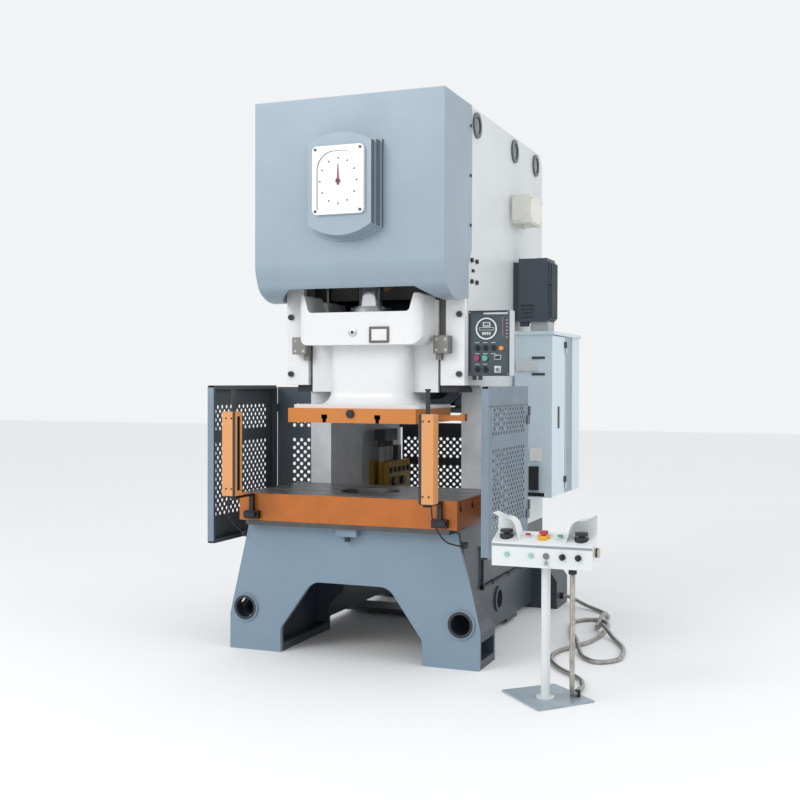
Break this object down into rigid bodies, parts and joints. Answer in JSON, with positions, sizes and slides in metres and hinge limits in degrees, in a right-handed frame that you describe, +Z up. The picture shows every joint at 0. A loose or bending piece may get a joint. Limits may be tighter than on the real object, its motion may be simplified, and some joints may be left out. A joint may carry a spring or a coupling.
{
  "type": "mechanical stamping press",
  "caption": "Open-front crank press with side plates, guided slide, T-slot bolster, perforated guards, control boxes and a two-hand pedestal on a floor conduit.",
  "frame": {"origin": "centre of the four anchor bolt holes, on the floor", "axes": "+X to the operator's right, +Y from the front to the rear, +Z up"},
  "size_m": [2.319, 2.718, 3.1],
  "materials": {
    "side_plate_paint": "satin",
    "base_paint": "satin",
    "bed_steel": "satin",
    "bolster_paint": "satin sides, ground steel top",
    "frame_white": "satin",
    "machined_steel": "machined",
    "cover_paint": "satin",
    "dial_white": "gloss",
    "motor_paint": "satin",
    "slate_paint": "satin",
    "inverter_grey": "satin",
    "black_rubber": "matt",
    "bronze": "turned",
    "guard_paint": "satin",
    "post_paint": "satin",
    "slide_plate_paint": "satin",
    "black_plastic": "matt",
    "dark_steel": "blackened",
    "stand_white": "satin",
    "air_yellow": "satin",
    "beige_plastic": "matt",
    "slide_white": "satin",
    "bright_screw": "ground",
    "red_plastic": "gloss",
    "green_plastic": "gloss"
  },
  "bodies": {
    "frame": {"frame_side_left": "side_plate_paint", "frame_side_right": "side_plate_paint", "base_front": "base_paint", "base_cross_members": "base_paint", "bed_plate": "bed_steel", "bolster": "bolster_paint", "crown_front_plate": "frame_white", "crown_bulkhead": "side_plate_paint", "slide_gibs": "machined_steel", "front_cover": "cover_paint", "dial_housing": "cover_paint", "dial_face": "dial_white", "motor": "motor_paint", "balancer_cylinders": "slate_paint", "drive_belts": "black_rubber", "shaft_bearings": "bronze", "fixed_guards": "guard_paint", "light_curtain_posts": "post_paint", "light_curtain_brackets": "slate_paint", "operator_box": "black_plastic", "electrical_cabinet": "cover_paint", "inverter_box": "inverter_grey", "pedestal_stand": "stand_white", "pedestal_box": "stand_white", "conduit": "black_rubber", "conduit_fittings": "black_plastic", "air_unit": "air_yellow", "frame_bolts": "dark_steel", "cam_switch_box": "beige_plastic", "sensor_leads": "black_rubber"},
    "slide": {"slide_casting": "slide_white", "slide_plate": "slide_plate_paint", "slide_fittings": "machined_steel", "adjusting_screw": "bright_screw"},
    "crank": {"crankshaft": "machined_steel", "main_gear": "machined_steel", "dial_pointer": "red_plastic"},
    "rod": {"connecting_rod": "machined_steel"},
    "pinion": {"pinion_shaft": "machined_steel"},
    "flywheel_body": {"flywheel": "motor_paint"},
    "rotor": {"motor_rotor": "dark_steel"},
    "door_left": {"guard_door_left": "guard_paint"},
    "door_right": {"guard_door_right": "guard_paint"},
    "cabinet_door_body": {"cabinet_door": "cover_paint"},
    "selector_1": {"panel_selector_1": "black_plastic"},
    "selector_2": {"panel_selector_2": "black_plastic"},
    "selector_3": {"panel_selector_3": "black_plastic"},
    "selector_4": {"panel_selector_4": "black_plastic"},
    "selector_5": {"panel_selector_5": "black_plastic"},
    "key_panel": {"panel_key": "machined_steel"},
    "button_red": {"panel_red_button": "red_plastic"},
    "button_green": {"panel_green_button": "green_plastic"},
    "palm_left": {"palm_button_left": "black_plastic"},
    "palm_right": {"palm_button_right": "black_plastic"},
    "stop_head": {"emergency_stop": "red_plastic"},
    "stand_button_red": {"pedestal_red_button": "red_plastic"},
    "stand_button_green": {"pedestal_green_button": "green_plastic"},
    "stand_selector_left": {"pedestal_selector_left": "black_plastic"},
    "stand_selector_right": {"pedestal_selector_right": "black_plastic"},
    "stand_key": {"pedestal_key": "machined_steel"}
  },
  "joints": [
    {"name": "slide_travel", "type": "slide", "parent": "frame", "child": "slide", "axis": [0, 0, 1], "range_m": [-0.16, 0]},
    {"name": "crank_turn", "type": "hinge", "parent": "frame", "child": "crank", "pos_m": [0, -0.755, 2.615], "axis": [0, 1, 0], "range_deg": [0, 180]},
    {"name": "rod_swing", "type": "hinge", "parent": "crank", "child": "rod", "pos_m": [0, -0.755, 2.695], "axis": [0, 1, 0], "range_deg": [-180, 0]},
    {"name": "pinion_turn", "type": "hinge", "parent": "frame", "child": "pinion", "pos_m": [0, -0.31, 2.135], "axis": [0, 1, 0], "range_deg": [-720, 0]},
    {"name": "flywheel_turn", "type": "hinge", "parent": "frame", "child": "flywheel_body", "pos_m": [0, 0.285, 2.135], "axis": [0, 1, 0], "continuous": true},
    {"name": "rotor_turn", "type": "hinge", "parent": "frame", "child": "rotor", "pos_m": [0, 0.285, 1.52], "axis": [0, 1, 0], "continuous": true},
    {"name": "guard_right_hinge", "type": "hinge", "parent": "frame", "child": "door_right", "pos_m": [0.834, -0.375, 1], "axis": [0, 0, 1], "range_deg": [0, 100]},
    {"name": "guard_left_hinge", "type": "hinge", "parent": "frame", "child": "door_left", "pos_m": [-0.834, -0.375, 1], "axis": [0, 0, 1], "range_deg": [-100, 0]},
    {"name": "cabinet_door_hinge", "type": "hinge", "parent": "frame", "child": "cabinet_door_body", "pos_m": [0.828, 0.577, 1.3], "axis": [0, 0, 1], "range_deg": [0, 100]},
    {"name": "panel_selector_1_turn", "type": "hinge", "parent": "frame", "child": "selector_1", "pos_m": [0.614, -0.673, 1.728], "axis": [0, 1, 0], "range_deg": [-45, 45]},
    {"name": "panel_selector_2_turn", "type": "hinge", "parent": "frame", "child": "selector_2", "pos_m": [0.661, -0.673, 1.728], "axis": [0, 1, 0], "range_deg": [-45, 45]},
    {"name": "panel_selector_3_turn", "type": "hinge", "parent": "frame", "child": "selector_3", "pos_m": [0.708, -0.673, 1.728], "axis": [0, 1, 0], "range_deg": [-45, 45]},
    {"name": "panel_selector_4_turn", "type": "hinge", "parent": "frame", "child": "selector_4", "pos_m": [0.614, -0.673, 1.607], "axis": [0, 1, 0], "range_deg": [-45, 45]},
    {"name": "panel_selector_5_turn", "type": "hinge", "parent": "frame", "child": "selector_5", "pos_m": [0.661, -0.673, 1.607], "axis": [0, 1, 0], "range_deg": [-45, 45]},
    {"name": "panel_key_turn", "type": "hinge", "parent": "frame", "child": "key_panel", "pos_m": [0.735, -0.676, 1.606], "axis": [0, 1, 0], "range_deg": [0, 90]},
    {"name": "panel_red_press", "type": "slide", "parent": "frame", "child": "button_red", "axis": [0, 1, 0], "range_m": [0, 0.004], "stiffness_N_per_m": 800},
    {"name": "panel_green_press", "type": "slide", "parent": "frame", "child": "button_green", "axis": [0, 1, 0], "range_m": [0, 0.004], "stiffness_N_per_m": 800},
    {"name": "palm_left_press", "type": "slide", "parent": "frame", "child": "palm_left", "axis": [0, 0, -1], "range_m": [0, 0.006], "stiffness_N_per_m": 1500, "springref_m": -0.003},
    {"name": "palm_right_press", "type": "slide", "parent": "frame", "child": "palm_right", "axis": [0, 0, -1], "range_m": [0, 0.006], "stiffness_N_per_m": 1500, "springref_m": -0.003},
    {"name": "stop_press", "type": "slide", "parent": "frame", "child": "stop_head", "axis": [0, 0, -1], "range_m": [0, 0.005], "stiffness_N_per_m": 1500, "springref_m": -0.003},
    {"name": "stand_red_press", "type": "slide", "parent": "frame", "child": "stand_button_red", "axis": [0, 0, -1], "range_m": [0, 0.003], "stiffness_N_per_m": 800, "springref_m": -0.002},
    {"name": "stand_green_press", "type": "slide", "parent": "frame", "child": "stand_button_green", "axis": [0, 0, -1], "range_m": [0, 0.003], "stiffness_N_per_m": 800, "springref_m": -0.002},
    {"name": "stand_selector_left_turn", "type": "hinge", "parent": "frame", "child": "stand_selector_left", "pos_m": [1.313, -1.535, 0.708], "axis": [0, 1, 0], "range_deg": [-45, 45]},
    {"name": "stand_selector_right_turn", "type": "hinge", "parent": "frame", "child": "stand_selector_right", "pos_m": [1.389, -1.535, 0.708], "axis": [0, 1, 0], "range_deg": [-45, 45]},
    {"name": "stand_key_turn", "type": "hinge", "parent": "frame", "child": "stand_key", "pos_m": [1.234, -1.535, 0.676], "axis": [0, 1, 0], "range_deg": [0, 90]}
  ],
  "couplings": [
    {"joint": "crank_turn", "follows": "slide_travel", "rad_per_m": -19.635},
    {"joint": "rod_swing", "follows": "slide_travel", "rad_per_m": 19.635},
    {"joint": "pinion_turn", "follows": "slide_travel", "rad_per_m": 78.54},
    {"joint": "rotor_turn", "follows": "flywheel_turn", "ratio": 4.6667}
  ]
}
